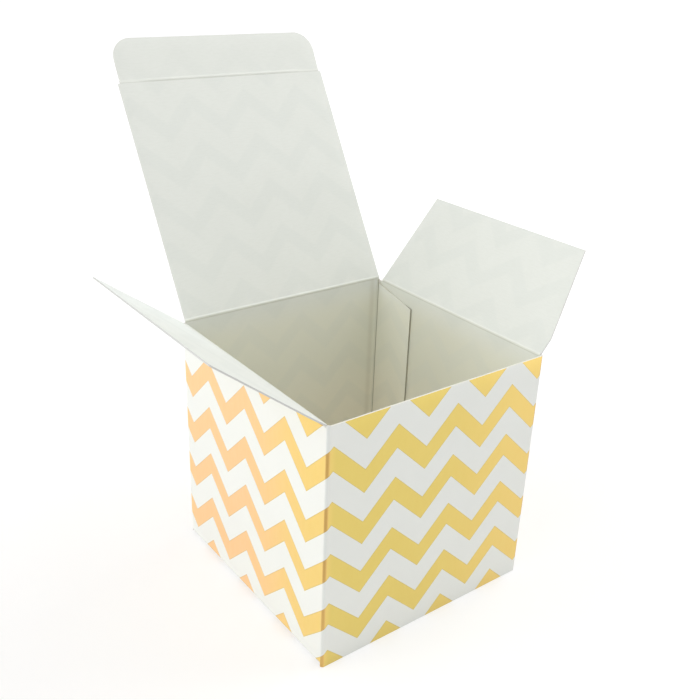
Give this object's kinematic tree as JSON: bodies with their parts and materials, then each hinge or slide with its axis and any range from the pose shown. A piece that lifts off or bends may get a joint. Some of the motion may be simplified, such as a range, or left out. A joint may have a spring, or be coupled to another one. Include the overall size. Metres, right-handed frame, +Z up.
{
  "type": "folding gift box",
  "caption": "Cube-shaped folding gift carton for a hanging bauble, with a chevron print in gold, a hinged lid with a tuck flap, dust flaps, and a bottom that opens the same way.",
  "frame": {"origin": "middle of the outer face of the closed bottom panel, on which the box stands", "axes": "+X runs to the right along the front wall, +Y runs from the front wall to the rear wall that carries the lid, +Z is up"},
  "size_m": [0.1325, 0.1268, 0.1612],
  "materials": {
    "printed_board": "satin",
    "fold_line": "satin",
    "glue": "matte"
  },
  "bodies": {
    "sleeve": {"front_wall": "printed_board", "left_wall": "printed_board", "rear_wall": "printed_board", "right_wall": "printed_board", "front_left_corner_fold": "fold_line", "front_right_corner_fold": "fold_line", "rear_left_corner_fold": "fold_line", "glue_flap_fold": "fold_line", "glue_flap": "printed_board", "glue_film": "glue", "lid_fold": "fold_line", "left_dust_flap_fold": "fold_line", "right_dust_flap_fold": "fold_line", "bottom_fold": "fold_line", "bottom_left_dust_flap_fold": "fold_line", "bottom_right_dust_flap_fold": "fold_line"},
    "lid": {"lid_panel": "printed_board", "tuck_fold": "fold_line"},
    "tuck": {"tuck_flap": "printed_board"},
    "left_dust": {"left_dust_flap": "printed_board"},
    "right_dust": {"right_dust_flap": "printed_board"},
    "bottom": {"bottom_panel": "printed_board", "bottom_tuck_fold": "fold_line"},
    "bottom_tuck": {"bottom_tuck_flap": "printed_board"},
    "bottom_left_dust": {"bottom_left_dust_flap": "printed_board"},
    "bottom_right_dust": {"bottom_right_dust_flap": "printed_board"}
  },
  "joints": [
    {"name": "lid_hinge", "type": "hinge", "parent": "sleeve", "child": "lid", "pos_m": [0, 0.03977, 0.08077], "axis": [-1, 0, 0], "range_deg": [-120.7, 104], "deforming": ["lid_fold"]},
    {"name": "tuck_hinge", "type": "hinge", "parent": "lid", "child": "tuck", "pos_m": [0, 0.08011, 0.1487], "axis": [-1, 0, 0], "range_deg": [-88, 90], "deforming": ["tuck_fold"]},
    {"name": "left_dust_hinge", "type": "hinge", "parent": "sleeve", "child": "left_dust", "pos_m": [-0.03977, 0, 0.08007], "axis": [0, -1, 0], "range_deg": [-143.3, 81.7], "deforming": ["left_dust_flap_fold"]},
    {"name": "right_dust_hinge", "type": "hinge", "parent": "sleeve", "child": "right_dust", "pos_m": [0.03977, 0, 0.08007], "axis": [0, 1, 0], "range_deg": [-131.4, 93.6], "deforming": ["right_dust_flap_fold"]},
    {"name": "bottom_hinge", "type": "hinge", "parent": "sleeve", "child": "bottom", "pos_m": [0, 0.03977, 0.00022], "axis": [1, 0, 0], "range_deg": [0, 180], "deforming": ["bottom_fold"]},
    {"name": "bottom_tuck_hinge", "type": "hinge", "parent": "bottom", "child": "bottom_tuck", "pos_m": [0, -0.03923, 0.00022], "axis": [1, 0, 0], "range_deg": [0, 101.5], "deforming": ["bottom_tuck_fold"]},
    {"name": "bottom_left_dust_hinge", "type": "hinge", "parent": "sleeve", "child": "bottom_left_dust", "pos_m": [-0.03945, 0, 0.00125], "axis": [0, -1, 0], "range_deg": [0, 75], "deforming": ["bottom_left_dust_flap_fold"]},
    {"name": "bottom_right_dust_hinge", "type": "hinge", "parent": "sleeve", "child": "bottom_right_dust", "pos_m": [0.03945, 0, 0.00125], "axis": [0, 1, 0], "range_deg": [0, 75], "deforming": ["bottom_right_dust_flap_fold"]}
  ],
  "couplings": [
    {"joint": "bottom_tuck_hinge", "follows": "bottom_hinge", "ratio": 0.563}
  ]
}
